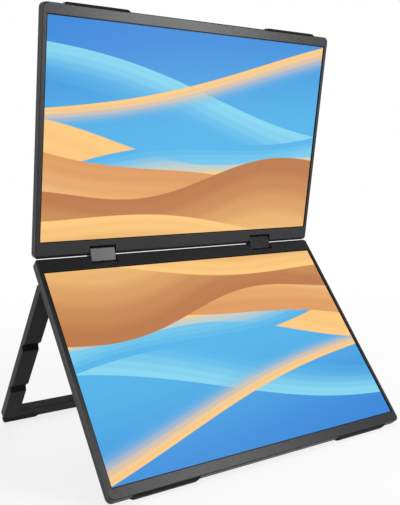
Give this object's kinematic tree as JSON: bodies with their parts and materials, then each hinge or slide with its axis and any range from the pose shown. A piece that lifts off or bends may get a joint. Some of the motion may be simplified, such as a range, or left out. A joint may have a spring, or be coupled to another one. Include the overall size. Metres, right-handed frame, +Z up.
{
  "type": "portable monitor",
  "caption": "Folding stacked laptop screen extender: two slim display modules on dual-axis hinge blocks, with a U-shaped kickstand behind the lower module.",
  "frame": {"origin": "centre of the bounding box at desk level, in the working pose", "axes": "+X to the right as a viewer in front sees it, +Y to the rear, +Z up"},
  "size_m": [0.356, 0.277, 0.4407],
  "materials": {
    "charcoal_plastic": "fine matt texture",
    "dark_plastic": "fine matt texture",
    "display": "matt anti-glare film, lit picture",
    "light_guide": "clear acrylic",
    "aluminium_sheet": "rolled sheet",
    "circuit_board": "solder mask",
    "polyimide": "film",
    "chip_black": "moulded epoxy",
    "socket_steel": "plated",
    "button_plastic": "satin",
    "speaker_black": "matt",
    "hinge_steel": "plain",
    "rubber": "matt rubber",
    "hinge_paint": "satin paint",
    "stand_plastic": "fine matt texture"
  },
  "bodies": {
    "lower_display": {"lower_bezel": "charcoal_plastic", "lower_back_cover": "dark_plastic", "lower_rear_housing": "dark_plastic", "lower_lcd_glass": "display", "lower_light_guide": "light_guide", "lower_lcd_tray": "aluminium_sheet", "lower_column_board": "circuit_board", "lower_panel_flex": "polyimide", "lower_driver_board": "circuit_board", "lower_board_chips": "chip_black", "lower_usb_c_sockets": "socket_steel", "lower_hdmi_socket": "socket_steel", "lower_switches": "chip_black", "lower_speakers": "speaker_black", "lower_hinge_brackets": "hinge_steel", "lower_hinge_shafts": "hinge_steel", "lower_friction_washers": "hinge_steel", "lower_hinge_nuts": "hinge_steel", "lower_cover_screws": "hinge_steel", "lower_edge_feet": "rubber", "stand_pins": "hinge_steel", "stand_washers": "hinge_steel"},
    "hinge_link": {"left_hinge_block": "hinge_paint", "right_hinge_block": "hinge_paint"},
    "upper_display": {"upper_bezel": "charcoal_plastic", "upper_back_cover": "dark_plastic", "upper_rear_housing": "dark_plastic", "upper_lcd_glass": "display", "upper_light_guide": "light_guide", "upper_lcd_tray": "aluminium_sheet", "upper_column_board": "circuit_board", "upper_panel_flex": "polyimide", "upper_driver_board": "circuit_board", "upper_board_chips": "chip_black", "upper_usb_c_sockets": "socket_steel", "upper_hdmi_socket": "socket_steel", "upper_switches": "chip_black", "upper_speakers": "speaker_black", "upper_hinge_brackets": "hinge_steel", "upper_hinge_shafts": "hinge_steel", "upper_friction_washers": "hinge_steel", "upper_hinge_nuts": "hinge_steel", "upper_cover_screws": "hinge_steel", "upper_edge_feet": "rubber"},
    "kickstand": {"stand_frame": "stand_plastic", "stand_pads": "rubber", "groove_linings": "rubber"},
    "upper_power_button_body": {"upper_power_button": "button_plastic"},
    "upper_menu_button_body": {"upper_menu_button": "button_plastic"},
    "lower_power_button_body": {"lower_power_button": "button_plastic"},
    "lower_menu_button_body": {"lower_menu_button": "button_plastic"}
  },
  "joints": [
    {"name": "lower_hinge_axis", "type": "hinge", "parent": "lower_display", "child": "hinge_link", "pos_m": [0, 0.01394, 0.1917], "axis": [1, 0, 0], "range_deg": [-69, 66]},
    {"name": "upper_hinge_axis", "type": "hinge", "parent": "hinge_link", "child": "upper_display", "pos_m": [0, 0.01659, 0.20217], "axis": [1, 0, 0], "range_deg": [-69, 66]},
    {"name": "kickstand_fold", "type": "hinge", "parent": "lower_display", "child": "kickstand", "pos_m": [0, 0.00824, 0.1682], "axis": [1, 0, 0], "range_deg": [-76, 0]},
    {"name": "upper_power_button_press", "type": "slide", "parent": "upper_display", "child": "upper_power_button_body", "axis": [1, 0, 0], "range_m": [0, 0.0004], "stiffness_N_per_m": 1500, "springref_m": -0.0003},
    {"name": "upper_menu_button_press", "type": "slide", "parent": "upper_display", "child": "upper_menu_button_body", "axis": [1, 0, 0], "range_m": [0, 0.0004], "stiffness_N_per_m": 1500, "springref_m": -0.0003},
    {"name": "lower_power_button_press", "type": "slide", "parent": "lower_display", "child": "lower_power_button_body", "axis": [-1, 0, 0], "range_m": [0, 0.0004], "stiffness_N_per_m": 1500, "springref_m": -0.0003},
    {"name": "lower_menu_button_press", "type": "slide", "parent": "lower_display", "child": "lower_menu_button_body", "axis": [-1, 0, 0], "range_m": [0, 0.0004], "stiffness_N_per_m": 1500, "springref_m": -0.0003}
  ]
}
